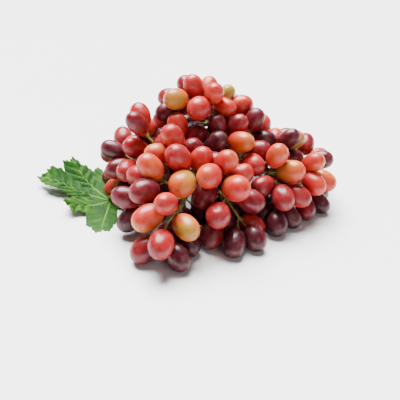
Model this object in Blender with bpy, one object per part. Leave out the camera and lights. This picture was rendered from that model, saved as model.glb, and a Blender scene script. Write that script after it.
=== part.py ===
"""A bunch of red table grapes lying on its side, with one vine leaf tucked under its left edge.

Metres, +Z up, the surface at z = 0 and the origin on it, in the middle of the outline. The long way
of the heap runs along X and its lower front faces -Y.
The woody stem is one grown piece. Every branchlet ends in three berries that press on one another,
so each such cluster is one body. All the berries are placed by the same rule: they hang on their
pedicels near a planned place, push each other apart and settle on the surface.
"""

import bmesh
import bpy
import numpy as np
from mathutils import Matrix, Vector

# ---- driving dimensions (metres) ----
BUNCH_WIDTH = 0.205  # planned reach of the berry centres along X
BUNCH_DEPTH = 0.204  # planned reach of the berry centres along Y
BUNCH_HEIGHT = 0.083  # planned height of the topmost berry centres above the lowest ones
BERRY_LENGTH = 0.0250  # stem end to blossom end
BERRY_WIDTH = 0.0192
STEM_RADIUS = 0.0034  # thick end of the main stem
PEDICEL_RADIUS = 0.0008
LEAF_LENGTH = 0.106
LEAF_THICKNESS = 0.0008

MM = 0.001
PLAN_SIZE = (216.0, 215.0, 84.0)  # reach of the plan below, in its own millimetres
PLAN_PIVOT = (4.0, 4.0, 11.0)  # the point of the plan that stays put when a reach changes
FRONT_SWELL = 1.05  # berries at the front edge of the plan
BACK_SWELL = 0.89  # and at the back edge
PEDICEL_REACH = (4.5, 12.0)  # shortest and longest pedicel, mm
CORE = (6.0, 22.0, 26.0)  # the point of the plan that the branchlets grow away from
PEDUNCLE_STEPS = 2  # bare steps at the cut end of the main stem
TIP_DEPTH = 17.0  # how far under its three berries a branchlet ends, mm
LEAN = (0.15, 0.05, -0.35)  # berries hang a little to the right and down from straight out
# How far two berries of one cluster press together, mm: slim berries slope at the shoulders and press deeper.
PRESS = 1.15 + 0.25 * (BERRY_LENGTH - BERRY_WIDTH) / MM
GAP = 0.45  # clearance between everything else, mm
FLOOR_PRESS = 0.9  # how far a resting berry flattens, mm
LEAF_CLEARANCE = 3.0  # berries over the leaf start this high, mm
STEPS = 700
SEED = 5

# The woody skeleton: radius at each end as a share of STEM_RADIUS, then its points in plan mm.
BRANCHES = (
    ("rachis", 1.00, 0.56, ((34, 118, 34), (24, 88, 46), (10, 54, 48), (0, 22, 42), (-8, -12, 36), (-20, -46, 26))),
    ("crown", 0.68, 0.47, ((10, 54, 48), (2, 54, 72))),
    ("right", 0.70, 0.44, ((6, 40, 46), (44, 34, 34), (84, 40, 24))),
    ("right_front", 0.56, 0.41, ((44, 34, 34), (66, 8, 26))),
    ("left", 0.68, 0.44, ((3, 30, 44), (-32, 26, 44), (-60, 20, 28))),
    ("front_right", 0.59, 0.41, ((-3, 6, 40), (22, -22, 28))),
    ("back_left", 0.59, 0.41, ((16, 68, 48), (-22, 76, 38), (-46, 66, 24))),
    ("back_right", 0.59, 0.41, ((24, 88, 46), (58, 78, 28))),
)

# Where the three berries of each branchlet are planned: x, y, z in plan mm, ripeness from
# 0 (green) through 1 (amber), 2 (coral), 3 (red), 4 (plum) to 5 (dark), and a size where it is unusual.
CLUSTERS = (
    ("crown_peak", (-17, 62, 93, 4), (2, 66, 91, 3), (-10, 50, 92, 3)),
    ("crown_left", (-34, 54, 84, 4), (-24, 38, 88, 1, 1.1), (-38, 40, 72, 5)),
    ("crown_front", (-2, 28, 82, 3, 1.12), (-4, 42, 90, 3), (12, 44, 82, 3)),
    ("crown_small", (16, 58, 86, 0, 0.76), (23, 46, 75, 4), (36, 58, 82, 2, 1.1)),
    ("crown_right", (39, 46, 71, 5), (55, 62, 62, 2), (55, 40, 54, 5)),
    ("crown_face_left", (-24, 26, 75, 2), (-9, 14, 69, 4), (-33, 32, 65, 5)),
    ("crown_face_right", (11, 32, 76, 5), (24, 34, 69, 4), (32, 18, 64, 1, 1.05)),
    ("crown_under", (10, 14, 66, 5), (6, 6, 57, 4), (-9, 4, 58, 4)),
    ("crown_back_left", (-14, 82, 82, 3), (-34, 74, 68, 4), (-16, 90, 64, 4)),
    ("crown_back_right", (8, 86, 80, 4), (24, 78, 72, 3), (8, 96, 60, 4)),
    ("crown_shoulder", (44, 76, 62, 3), (32, 92, 54, 4), (54, 84, 46, 4)),
    ("left_high", (-52, 44, 66, 3), (-44, 56, 70, 3), (-45, 22, 58, 5)),
    ("left_mid", (-60, 22, 50, 3), (-67, 36, 54, 3), (-54, 4, 48, 2)),
    ("left_side", (-75, 28, 41, 5), (-78, 18, 30, 4), (-62, -6, 43, 3)),
    ("left_low", (-73, -4, 17, 5), (-87, 8, 11, 1, 0.76), (-70, 12, 18, 4)),
    ("left_foot", (-55, -36, 30, 4), (-56, -44, 20, 5), (-68, -20, 11, 5)),
    ("left_back", (-80, 40, 30, 4), (-72, 52, 42, 3), (-78, 52, 18, 4)),
    ("left_back_high", (-56, 62, 52, 3), (-44, 76, 50, 4), (-60, 74, 34, 4)),
    ("left_back_low", (-72, 66, 11, 4), (-56, 86, 14, 4), (-50, 86, 32, 3)),
    ("ridge_left", (-42, -12, 64, 1), (-28, -8, 64, 2), (-25, 6, 65, 3)),
    ("ridge_edge", (-44, -32, 58, 2), (-57, -28, 43, 2), (-46, -50, 45, 4, 1.08)),
    ("ridge_mid", (-24, -26, 59, 3, 1.1), (-4, -10, 50, 3), (-17, -46, 50, 1, 1.12)),
    ("ridge_front", (8, -32, 50, 2, 1.12), (15, -14, 52, 2), (-9, -54, 35, 4)),
    ("front_face", (-31, -60, 38, 2), (-43, -56, 28, 4), (-54, -66, 23, 1, 1.05)),
    ("front_toe", (-27, -84, 24, 3, 1.08), (-46, -80, 12, 4), (-13, -88, 12, 5)),
    ("front_toe_in", (-13, -70, 24, 1), (-28, -62, 12, 5), (-2, -66, 11, 5)),
    ("front_foot", (13, -62, 12, 4), (22, -48, 21, 4), (12, -48, 32, 3, 1.1)),
    ("front_foot_right", (28, -60, 11, 5), (42, -46, 11, 5), (39, -36, 19, 3)),
    ("centre_face", (27, -34, 41, 1, 1.15), (41, -30, 34, 4), (30, -16, 44, 3)),
    ("centre_top", (29, -4, 50, 2), (46, 0, 49, 2, 1.05), (44, 16, 52, 4)),
    ("right_near", (58, 14, 50, 2), (71, 8, 43, 1, 1.05), (80, 18, 42, 3)),
    ("right_face", (60, -8, 36, 3), (68, -16, 18, 4), (81, -8, 30, 3)),
    ("right_foot", (64, -34, 11, 5), (52, -20, 12, 5), (86, -10, 10, 5)),
    ("right_end", (93, 28, 40, 1), (97, 10, 30, 2), (112, 22, 28, 1)),
    ("right_end_low", (100, 4, 14, 4), (110, 16, 11, 5), (112, 34, 12, 4)),
    ("right_top", (70, 58, 52, 2), (82, 54, 47, 1), (69, 38, 48, 5)),
    ("right_top_end", (95, 66, 44, 3), (110, 66, 34, 2), (101, 46, 37, 4)),
    ("right_top_mid", (84, 36, 45, 4), (64, 26, 46, 4), (72, 44, 34, 5)),
    ("right_back", (76, 78, 42, 4), (72, 94, 28, 4), (90, 90, 22, 4)),
    ("right_back_low", (112, 56, 12, 4), (104, 74, 11, 5), (88, 72, 14, 5)),
    ("back_high", (-20, 104, 46, 4), (2, 110, 42, 3), (-34, 96, 40, 4)),
    ("back_mid", (24, 106, 40, 4), (48, 98, 36, 3), (42, 110, 20, 4)),
    ("back_low_left", (-36, 106, 20, 4), (-16, 114, 24, 4), (-26, 108, 10, 5)),
    ("back_low_mid", (4, 118, 22, 4), (20, 116, 12, 5), (-4, 112, 10, 5)),
    ("back_low_right", (58, 102, 12, 4), (76, 96, 10, 4), (40, 100, 10, 5)),
    ("back_face", (-12, 100, 34, 4), (10, 102, 30, 4), (26, 96, 26, 4)),
    ("back_face_left", (-34, 92, 26, 4), (-50, 98, 22, 5), (-44, 104, 36, 3)),
    ("under_left", (-40, 0, 24, 5), (-46, 18, 12, 5), (-34, -20, 12, 5)),
    ("under_left_back", (-40, 44, 14, 5), (-52, 60, 12, 5), (-26, 62, 12, 5)),
    ("under_front", (-16, -36, 24, 5), (2, -32, 22, 5), (-32, -34, 24, 5)),
    ("under_centre", (18, -8, 14, 5), (0, 6, 12, 5), (34, -24, 12, 5)),
    ("under_right", (44, 4, 14, 5), (66, 4, 12, 5), (54, 20, 12, 5)),
    ("under_right_back", (80, 28, 12, 5), (66, 50, 14, 5), (84, 52, 12, 5)),
    ("under_back", (10, 64, 14, 5), (-8, 86, 14, 5), (28, 82, 14, 5)),
    ("under_mid", (20, 34, 14, 5), (40, 56, 14, 5), (-14, 36, 14, 5)),
    ("inner_left", (-22, 48, 38, 5), (-10, 64, 36, 5), (-28, 62, 42, 5)),
    ("inner_right", (36, 56, 38, 5), (26, 66, 32, 5), (50, 58, 34, 5)),
    ("inner_crown", (-14, 50, 58, 5), (-24, 62, 58, 5), (-6, 66, 62, 5)),
)


# ---- vectors ----
def length(v):
    return np.sqrt((v * v).sum(-1))


def unit(v):
    return v / np.maximum(length(v), 1e-9)[..., None]


def planned(points):
    """Plan millimetres turned into real millimetres by the three overall reaches."""
    reach = np.array((BUNCH_WIDTH, BUNCH_DEPTH, BUNCH_HEIGHT)) / MM
    pivot = np.array(PLAN_PIVOT)
    moved = (np.array(points, float) - pivot) * (reach / np.array(PLAN_SIZE)) + pivot
    return moved


def smooth_line(points, count):
    """A Catmull-Rom curve through the points, as count steps."""
    points = np.array(points, float)
    ends = np.vstack([2 * points[0] - points[1], points, 2 * points[-1] - points[-2]])
    spans = len(points) - 1
    made = []
    for t in np.linspace(0, spans, count + 1):
        k = min(int(t), spans - 1)
        s = t - k
        a, b, c, d = ends[k : k + 4]
        square = (2 * a - 5 * b + 4 * c - d) * s**2
        cube = (3 * b - a - 3 * c + d) * s**3
        made.append(0.5 * (2 * b + (c - a) * s + square + cube))
    return np.array(made)


def closest(p1, d1, h1, p2, d2, h2):
    """The closest points of segments given by middle, direction and half length."""
    r = p1 - p2
    b = (d1 * d2).sum(-1)
    c = (d1 * r).sum(-1)
    f = (d2 * r).sum(-1)
    s = np.clip((b * f - c) / np.maximum(1 - b * b, 1e-6), -h1, h1)
    t = np.clip(b * s + f, -h2, h2)
    s = np.clip(b * t - c, -h1, h1)
    return p1 + d1 * s[..., None], p2 + d2 * t[..., None]


# ---- the layout, all in millimetres ----
def skeleton():
    """Every branch as (points, radii)."""
    lines = []
    for _, thick, thin, points in BRANCHES:
        points = planned(points)
        count = max(2, int(length(np.diff(points, axis=0)).sum() / 14))
        radii = np.linspace(thick, thin, count + 1) * STEM_RADIUS / MM
        lines.append((smooth_line(points, count), radii))
    return lines


def skeleton_segments(lines):
    starts = np.vstack([line[:-1] for line, _ in lines])
    ends = np.vstack([line[1:] for line, _ in lines])
    radii = np.concatenate([np.maximum(r[:-1], r[1:]) for _, r in lines])
    return starts, ends, radii


def nearest_on(points, starts, ends):
    along = ends - starts
    t = ((points[:, None] - starts) * along).sum(-1) / (along * along).sum(-1)
    spots = starts + along * np.clip(t, 0, 1)[..., None]
    best = length(points[:, None] - spots).argmin(1)
    return spots[np.arange(len(points)), best]


def berry_sizes(centres, wished, ripeness, rng):
    """Half length and half width of each berry: larger at the front, smaller inside and at the back."""
    back = (centres[:, 1] - centres[:, 1].min()) / np.ptp(centres[:, 1])
    size = wished * rng.uniform(0.95, 1.04, len(wished))
    size = size * (FRONT_SWELL + (BACK_SWELL - FRONT_SWELL) * back)
    size = size * np.where(ripeness == 5, 0.95, 1.0)
    slim = rng.uniform(0.97, 1.04, len(wished))
    return BERRY_LENGTH / MM / 2 * size * slim, BERRY_WIDTH / MM / 2 * size / slim


def branchlet_tips(centres, feet, outward):
    middles = centres.reshape(-1, 3, 3).mean(1)
    depth = np.minimum(TIP_DEPTH, length(middles - feet) * 0.75)
    return middles - outward * depth[:, None]


def floor_under(centres):
    """The lowest a berry may reach: it sinks a little on the surface and stays above the leaf."""
    over_leaf = (centres[:, 0] < -50) & (np.abs(centres[:, 1] - 4) < 46)
    return np.where(over_leaf, LEAF_CLEARANCE, -FLOOR_PRESS)


def push_berries(move, pair, joined, c, u, half, wide):
    i, j = pair
    p, q = closest(c[i], u[i], half[i], c[j], u[j], half[j])
    away = q - p
    dist = length(away)
    want = wide[i] + wide[j] + np.where(joined, -PRESS, GAP)
    lack = want - dist
    lack = np.where(joined, lack * 1.3, np.maximum(lack, 0)) * 0.42
    push = away / np.maximum(dist, 1e-6)[:, None] * lack[:, None]
    np.add.at(move, j, push)
    np.add.at(move, i, -push)


def push_off_stems(move, sticks, c, u, half, wide):
    start, end, radius, own = sticks
    middle = (start + end) / 2
    along = unit(end - start)
    reach = length(end - start) / 2
    x, y = np.nonzero(length(middle[:, None] - c[None]) < reach[:, None] + 16)
    other = own[x] != y
    x, y = x[other], y[other]
    p, q = closest(middle[x], along[x], reach[x], c[y], u[y], half[y])
    away = q - p
    dist = length(away)
    lack = np.maximum(wide[y] + radius[x] + GAP - dist, 0) * 0.5
    np.add.at(move, y, away / np.maximum(dist, 1e-6)[:, None] * lack[:, None])


def pick_joined(pair, cluster, c, u, half, wide):
    """In every cluster the two closest pairs of berries press together."""
    i, j = pair
    p, q = closest(c[i], u[i], half[i], c[j], u[j], half[j])
    gap = length(q - p) - wide[i] - wide[j]
    joined = np.zeros(len(i), bool)
    for k in range(cluster.max() + 1):
        mine = np.nonzero((cluster[i] == k) & (cluster[j] == k))[0]
        mine = mine[np.argsort(gap[mine], kind="stable")]
        joined[mine[:2]] = True
    return joined


def settle():
    """Every berry's centre, axis and size, and where its pedicel and branchlet start."""
    rng = np.random.default_rng(SEED)
    rows = [berry for entry in CLUSTERS for berry in entry[1:]]
    ripeness = np.array([row[3] for row in rows])
    wished = np.array([row[4] if len(row) > 4 else 1.0 for row in rows])
    c = planned([row[:3] for row in rows])
    goal = c.copy()
    long, wide = berry_sizes(c, wished, ripeness, rng)
    half = long - wide
    cluster = np.repeat(np.arange(len(CLUSTERS)), 3)
    lines = skeleton()
    starts, ends, radii = skeleton_segments(lines)
    middles = c.reshape(-1, 3, 3).mean(1)
    inward = unit(planned(CORE) - middles) * 0.7 * TIP_DEPTH
    feet = nearest_on(middles + inward, starts[PEDUNCLE_STEPS:], ends[PEDUNCLE_STEPS:])
    outward = unit(unit(middles - feet) + np.array(LEAN))
    pair = np.triu_indices(len(c), 1)
    joined = np.zeros(len(pair[0]), bool)
    own = np.concatenate([np.full(len(starts) + len(feet), -1), np.arange(len(c))])
    radius = np.concatenate([radii, np.full(len(feet), 1.25), np.full(len(c), 1.15)])
    for step in range(STEPS):
        tips = branchlet_tips(c, feet, outward)
        hung = tips[cluster]
        u = unit(c - hung)
        if step == STEPS // 3:
            joined = pick_joined(pair, cluster, c, u, half, wide)
        near = length(c[pair[0]] - c[pair[1]]) < 2.8 * BERRY_LENGTH / MM / 2
        move = np.zeros_like(c)
        close_pair = (pair[0][near], pair[1][near])
        push_berries(move, close_pair, joined[near], c, u, half, wide)
        stalk = c - u * long[:, None]
        sticks = (np.vstack([starts, feet, hung]), np.vstack([ends, tips, stalk]), radius, own)
        push_off_stems(move, sticks, c, u, half, wide)
        move *= np.minimum(1, 1.5 / np.maximum(length(move), 1e-9))[:, None]
        c = c + move
        if step < STEPS * 0.72:
            c = c + (goal - c) * 0.06
        hung = branchlet_tips(c, feet, outward)[cluster]
        r = length(c - hung)
        fit = np.clip(r, long + PEDICEL_REACH[0], long + PEDICEL_REACH[1])
        c = hung + (c - hung) * ((r + (fit - r) * 0.5) / r)[:, None]
        u = unit(c - hung)
        low = c[:, 2] - wide - half * np.abs(u[:, 2])
        over = low - floor_under(c)
        c[:, 2] += np.maximum(-over, 0)
        c[:, 2] -= np.where((over > 0) & (over < 5), np.minimum(0.15, over), 0)
    tips = branchlet_tips(c, feet, outward)
    return {
        "centre": c,
        "axis": unit(c - tips[cluster]),
        "long": long,
        "wide": wide,
        "ripeness": ripeness,
        "tips": tips,
        "feet": feet,
        "lines": lines,
        "joined": set(zip(pair[0][joined].tolist(), pair[1][joined].tolist())),
    }


# ---- materials ----
def make_material(name, color, roughness):
    material = bpy.data.materials.new(name)
    material.use_nodes = True
    shader = material.node_tree.nodes["Principled BSDF"]
    shader.inputs["Base Color"].default_value = (*color, 1.0)
    shader.inputs["Roughness"].default_value = roughness
    material.diffuse_color = (*color, 1.0)
    return material


def grape_coral():
    return make_material("grape_coral", (0.62, 0.13, 0.07), 0.30)


def grape_red():
    return make_material("grape_red", (0.36, 0.04, 0.05), 0.30)


def grape_plum():
    return make_material("grape_plum", (0.10, 0.015, 0.04), 0.32)


def stem_green():
    return make_material("stem_green", (0.30, 0.34, 0.10), 0.65)


def leaf_green():
    return make_material("leaf_green", (0.09, 0.26, 0.05), 0.50)


# ---- helpers for meshes ----
def add_object(name, bm, material=None, turn_out=True):
    if turn_out:
        bmesh.ops.recalc_face_normals(bm, faces=bm.faces)
    mesh = bpy.data.meshes.new(name)
    bm.to_mesh(mesh)
    bm.free()
    obj = bpy.data.objects.new(name, mesh)
    bpy.context.scene.collection.objects.link(obj)
    if material:
        mesh.materials.append(material)
        mesh.polygons.foreach_set("use_smooth", [True] * len(mesh.polygons))
    return obj


def hide(obj):
    obj.hide_render = True
    obj.display_type = "WIRE"


def join_by_union(obj, other):
    modifier = obj.modifiers.new("press_" + other.name, "BOOLEAN")
    modifier.operation = "UNION"
    modifier.solver = "EXACT"
    modifier.use_self = True
    modifier.object = other
    hide(other)


def across(direction):
    """Two unit vectors square to the direction."""
    direction = Vector(direction).normalized()
    side = direction.orthogonal().normalized()
    return side, direction.cross(side)


def add_tube(bm, points, radii, sides):
    """A closed tube with a flat cap at each end. Lengths in mm, made in metres."""
    points = [Vector(p) * MM for p in points]
    rings = []
    side = None
    for k, point in enumerate(points):
        before = points[max(k - 1, 0)]
        after = points[min(k + 1, len(points) - 1)]
        along = (after - before).normalized()
        if side is None:
            side, _ = across(along)
        side = (side - along * side.dot(along)).normalized()
        up = along.cross(side)
        ring = []
        for n in range(sides):
            turn = 2 * np.pi * n / sides
            offset = side * np.cos(turn) + up * np.sin(turn)
            ring.append(bm.verts.new(point + offset * float(radii[k]) * MM))
        rings.append(ring)
    for low, high in zip(rings[:-1], rings[1:]):
        for n in range(sides):
            m = (n + 1) % sides
            bm.faces.new((low[n], low[m], high[m], high[n]))
    bm.faces.new(rings[0][::-1])
    bm.faces.new(rings[-1])


# ---- berries ----
def berry_mesh(layout, k):
    """One berry as a closed faceted oval with full shoulders, cut flat where it rests on the surface."""
    bm = bmesh.new()
    bmesh.ops.create_icosphere(bm, subdivisions=2, radius=1.0)
    long, wide = float(layout["long"][k]) * MM, float(layout["wide"][k]) * MM
    for v in bm.verts:
        t = v.co.z
        v.co = v.co * wide
        v.co.z += (long - wide) * (1.5 * t - 0.5 * t**3)
    turn = Vector(layout["axis"][k]).to_track_quat("Z", "Y").to_matrix().to_4x4()
    place = Matrix.Translation(Vector(layout["centre"][k]) * MM)
    bmesh.ops.transform(bm, matrix=place @ turn, verts=bm.verts)
    if min(v.co.z for v in bm.verts) < 0:
        flatten_below(bm)
    return bm


def flatten_below(bm):
    """Removes what is under the surface and closes the cut with a flat face."""
    everything = bm.verts[:] + bm.edges[:] + bm.faces[:]
    cut = bmesh.ops.bisect_plane(
        bm, geom=everything, dist=1e-7, plane_co=(0, 0, 0), plane_no=(0, 0, 1), clear_inner=True
    )
    rim = [e for e in cut["geom_cut"] if isinstance(e, bmesh.types.BMEdge)]
    bmesh.ops.contextual_create(bm, geom=rim)
    for v in bm.verts:
        if abs(v.co.z) < 1e-6:
            v.co.z = 0.0


def make_cluster(layout, number, name, materials):
    """The three berries of one branchlet as one body: the middle one with the two that press on it."""
    mine = [3 * number, 3 * number + 1, 3 * number + 2]
    touches = {k: 0 for k in mine}
    for a, b in layout["joined"]:
        if a in touches and b in touches:
            touches[a] += 1
            touches[b] += 1
    middle = max(mine, key=lambda k: touches[k])
    ripeness = sum(layout["ripeness"][k] for k in mine) / 3
    material = materials[0] if ripeness < 2.4 else materials[1] if ripeness < 4.2 else materials[2]
    obj = add_object("berries_" + name, berry_mesh(layout, middle), material)
    sides = bmesh.new()
    for k in mine:
        if k != middle:
            add_closed(sides, berry_mesh(layout, k))
    join_by_union(obj, add_object("sides_" + name, sides, turn_out=False))
    return obj


# ---- stem ----
def add_knot(bm, point, radius):
    """A small swelling where shoots meet."""
    made = bmesh.ops.create_icosphere(bm, subdivisions=1, radius=float(radius) * MM)
    bmesh.ops.translate(bm, verts=made["verts"], vec=Vector(point) * MM)


def ring_of_three(bm, centre, spokes, radius):
    return [bm.verts.new(Vector(centre + spoke * radius) * MM) for spoke in spokes]


def join_rings(bm, low, high):
    for n in range(3):
        m = (n + 1) % 3
        bm.faces.new((low[n], low[m], high[m], high[n]))


def fork_spokes(ahead, axes):
    """Three spokes square to the way ahead, one midway between each two pedicels, and the pedicels' order."""
    side, up = (np.array(v) for v in across(ahead))
    angles = np.arctan2((axes * up).sum(1), (axes * side).sum(1))
    order = np.argsort(angles, kind="stable")
    turns = angles[order]
    following = np.append(turns[1:], turns[0] + 2 * np.pi)
    return [side * np.cos(t) + up * np.sin(t) for t in (turns + following) / 2], order


def add_branchlet(bm, foot, tip, centres, axes, longs):
    """A shoot that forks into three pedicels, each ending just short of its berry, as one closed form."""
    thin = PEDICEL_RADIUS / MM
    along = unit(tip - foot)
    ahead = unit(axes.sum(0))
    spokes, order = fork_spokes(ahead, axes)
    bend = Vector(ahead).rotation_difference(Vector(along))
    back_spokes = [np.array(bend @ Vector(spoke)) for spoke in spokes]
    start = ring_of_three(bm, foot - along * 0.8, back_spokes, thin * 1.6)
    fork = ring_of_three(bm, tip - ahead * 0.3, spokes, thin * 1.8)
    crown = bm.verts.new(Vector(tip + ahead * 0.6) * MM)
    bm.faces.new(start)
    join_rings(bm, start, fork)
    for n in range(3):
        k = order[n]
        root = [fork[n - 1], fork[n], crown]
        end = centres[k] - axes[k] * (longs[k] + 0.35)
        middle = sum((v.co for v in root), Vector()) / 3
        axis = Vector(axes[k])
        rims = []
        for v in root:
            spoke = v.co - middle
            rims.append(unit(np.array(spoke - axis * spoke.dot(axis))))
        close = ring_of_three(bm, end, rims, thin * 1.8)
        join_rings(bm, root, close)
        bm.faces.new(close)


def add_closed(bm, form):
    """Adds a closed form to the others with its faces turned outward."""
    bmesh.ops.recalc_face_normals(form, faces=form.faces)
    if form.calc_volume(signed=True) < 0:
        bmesh.ops.reverse_faces(form, faces=form.faces)
    mesh = bpy.data.meshes.new("form")
    form.to_mesh(mesh)
    form.free()
    bm.from_mesh(mesh)
    bpy.data.meshes.remove(mesh)


def make_stem(layout, material):
    """Main stem, side branches, branchlets and pedicels: one grown piece, so one body."""
    main = bmesh.new()
    line, radii = layout["lines"][0]
    add_tube(main, line, radii, 7)
    shoots = bmesh.new()
    for line, radii in layout["lines"][1:]:
        form = bmesh.new()
        add_tube(form, line, radii, 5)
        add_closed(shoots, form)
        form = bmesh.new()
        add_knot(form, line[0], radii[0] * 1.25)
        add_closed(shoots, form)
    for k, (foot, tip) in enumerate(zip(layout["feet"], layout["tips"])):
        three = slice(3 * k, 3 * k + 3)
        form = bmesh.new()
        add_branchlet(form, foot, tip, layout["centre"][three], layout["axis"][three], layout["long"][three])
        add_closed(shoots, form)
    stem = add_object("stem", main, material)
    join_by_union(stem, add_object("shoots", shoots, turn_out=False))
    return stem


# ---- leaf ----
LEAF_LOBES = ((184, 1.13, 22), (152, 1.00, 34), (120, 0.90, 32), (250, 0.72, 30), (298, 0.96, 26), (70, 0.60, 24))
LEAF_RINGS = 3
LEAF_STEPS = 60


def leaf_reach(degrees):
    """Outline of the blade round its middle, as a share of the leaf's half length: five lobes and a toothed edge."""
    reach = 0.42
    for middle, tall, spread in LEAF_LOBES:
        away = (degrees - middle + 180) % 360 - 180
        reach = max(reach, tall * np.exp(-((away / spread) ** 2) * 0.55))
    tooth = abs((degrees / 12.0) % 1.0 - 0.5) * 2
    return reach * (1.0 - 0.09 * tooth)


def leaf_height(x, y):
    """Height of the underside above the surface: flat under the berries, then rising in two soft folds."""
    out = np.clip((-x - 88.0) / 42.0, 0, 1)
    fold = 6.5 * (1 + np.cos(0.085 * (y - 58.0)))
    lift = 6.0 * out * out
    return out * (0.4 + 0.6 * out) * fold + lift


def leaf_point(degrees, share):
    """A point of the blade seen from above, in mm. The tip points left and a little back."""
    centre = np.array((-88.0, 12.0))
    turn = np.radians(degrees - 22.0)
    reach = LEAF_LENGTH / MM * 0.56 * leaf_reach(degrees) * share
    return centre + reach * np.array((np.cos(turn), np.sin(turn)))


def make_leaf(material):
    """One thin blade, closed round its toothed edge."""
    bm = bmesh.new()
    layers = []
    for lift in (0.0, LEAF_THICKNESS):
        x, y = leaf_point(0.0, 0.0)
        middle = bm.verts.new((x * MM, y * MM, leaf_height(x, y) * MM + lift))
        rings = []
        for ring in range(1, LEAF_RINGS + 1):
            share = ring / LEAF_RINGS
            verts = []
            for n in range(LEAF_STEPS):
                x, y = leaf_point(360.0 * n / LEAF_STEPS, share)
                verts.append(bm.verts.new((x * MM, y * MM, leaf_height(x, y) * MM + lift)))
            rings.append(verts)
        layers.append((middle, rings))
    for middle, rings in layers:
        for n in range(LEAF_STEPS):
            m = (n + 1) % LEAF_STEPS
            bm.faces.new((middle, rings[0][n], rings[0][m]))
            for inner, outer in zip(rings[:-1], rings[1:]):
                bm.faces.new((inner[n], outer[n], outer[m], inner[m]))
    low, high = layers[0][1][-1], layers[1][1][-1]
    for n in range(LEAF_STEPS):
        m = (n + 1) % LEAF_STEPS
        bm.faces.new((low[n], low[m], high[m], high[n]))
    return add_object("leaf", bm, material)


def stand_at_origin():
    """Puts the middle of the whole part's outline over the origin. Nothing moves up or down."""
    forms = [obj for obj in bpy.data.objects if obj.type == "MESH"]
    corners = np.array([v.co[:2] for obj in forms for v in obj.data.vertices])
    middle = (corners.min(0) + corners.max(0)) / 2
    for obj in forms:
        obj.location = (-middle[0], -middle[1], 0.0)


def clear_scene():
    for obj in list(bpy.data.objects):
        bpy.data.objects.remove(obj)


def main():
    clear_scene()
    layout = settle()
    skins = (grape_coral(), grape_red(), grape_plum())
    for number, entry in enumerate(CLUSTERS):
        make_cluster(layout, number, entry[0], skins)
    make_stem(layout, stem_green())
    make_leaf(leaf_green())
    stand_at_origin()


main()
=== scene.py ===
"""The looks of a bunch of red grapes lying on a pale surface, over the frame that part.py made.

The layout of the berries is the one in part.py: the same plan, settled by the same steps. Here every berry
gets a fine skin, pressed flat where it meets its neighbours, and the stem and the leaf get their detail.
"""

import bpy
import numpy as np
from mathutils import Matrix, Vector


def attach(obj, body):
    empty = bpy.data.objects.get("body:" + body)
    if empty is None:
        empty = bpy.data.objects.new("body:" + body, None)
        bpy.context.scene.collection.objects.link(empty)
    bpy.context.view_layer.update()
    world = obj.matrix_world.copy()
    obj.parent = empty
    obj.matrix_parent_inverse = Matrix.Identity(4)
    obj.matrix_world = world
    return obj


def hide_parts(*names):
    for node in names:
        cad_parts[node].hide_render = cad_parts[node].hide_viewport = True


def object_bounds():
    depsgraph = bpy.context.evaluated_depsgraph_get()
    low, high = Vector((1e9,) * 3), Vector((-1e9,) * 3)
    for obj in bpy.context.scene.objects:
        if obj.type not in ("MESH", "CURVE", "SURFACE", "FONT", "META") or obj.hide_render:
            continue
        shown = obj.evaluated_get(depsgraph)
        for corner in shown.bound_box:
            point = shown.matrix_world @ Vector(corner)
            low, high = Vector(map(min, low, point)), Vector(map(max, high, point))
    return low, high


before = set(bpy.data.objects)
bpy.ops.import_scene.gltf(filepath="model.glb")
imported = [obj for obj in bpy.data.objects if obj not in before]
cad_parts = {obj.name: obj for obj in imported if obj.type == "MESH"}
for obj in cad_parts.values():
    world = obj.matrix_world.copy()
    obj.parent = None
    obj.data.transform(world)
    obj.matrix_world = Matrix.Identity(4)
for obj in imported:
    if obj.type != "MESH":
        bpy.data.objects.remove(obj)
CAD_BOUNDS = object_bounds()

# ---- driving dimensions, as in part.py, metres ----
BUNCH_WIDTH = 0.205  # planned reach of the berry centres along X
BUNCH_DEPTH = 0.204  # planned reach of the berry centres along Y
BUNCH_HEIGHT = 0.083  # planned height of the topmost berry centres above the lowest ones
BERRY_LENGTH = 0.0250  # stem end to blossom end
BERRY_WIDTH = 0.0192
STEM_RADIUS = 0.0034  # thick end of the main stem
PEDICEL_RADIUS = 0.0008
LEAF_LENGTH = 0.106

MM = 0.001
PLAN_SIZE = (216.0, 215.0, 84.0)  # reach of the plan below, in its own millimetres
PLAN_PIVOT = (4.0, 4.0, 11.0)  # the point of the plan that stays put when a reach changes
FRONT_SWELL = 1.05  # berries at the front edge of the plan
BACK_SWELL = 0.89  # and at the back edge
PEDICEL_REACH = (4.5, 12.0)  # shortest and longest pedicel, mm
CORE = (6.0, 22.0, 26.0)  # the point of the plan that the branchlets grow away from
PEDUNCLE_STEPS = 2  # bare steps at the cut end of the main stem
TIP_DEPTH = 17.0  # how far under its three berries a branchlet ends, mm
LEAN = (0.15, 0.05, -0.35)  # berries hang a little to the right and down from straight out
# How far two berries of one cluster press together, mm: slim berries slope at the shoulders and press deeper.
PRESS = 1.15 + 0.25 * (BERRY_LENGTH - BERRY_WIDTH) / MM
GAP = 0.45  # clearance between everything else, mm
FLOOR_PRESS = 0.9  # how far a resting berry flattens, mm
LEAF_CLEARANCE = 3.0  # berries over the leaf start this high, mm
STEPS = 700
SEED = 5

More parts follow.
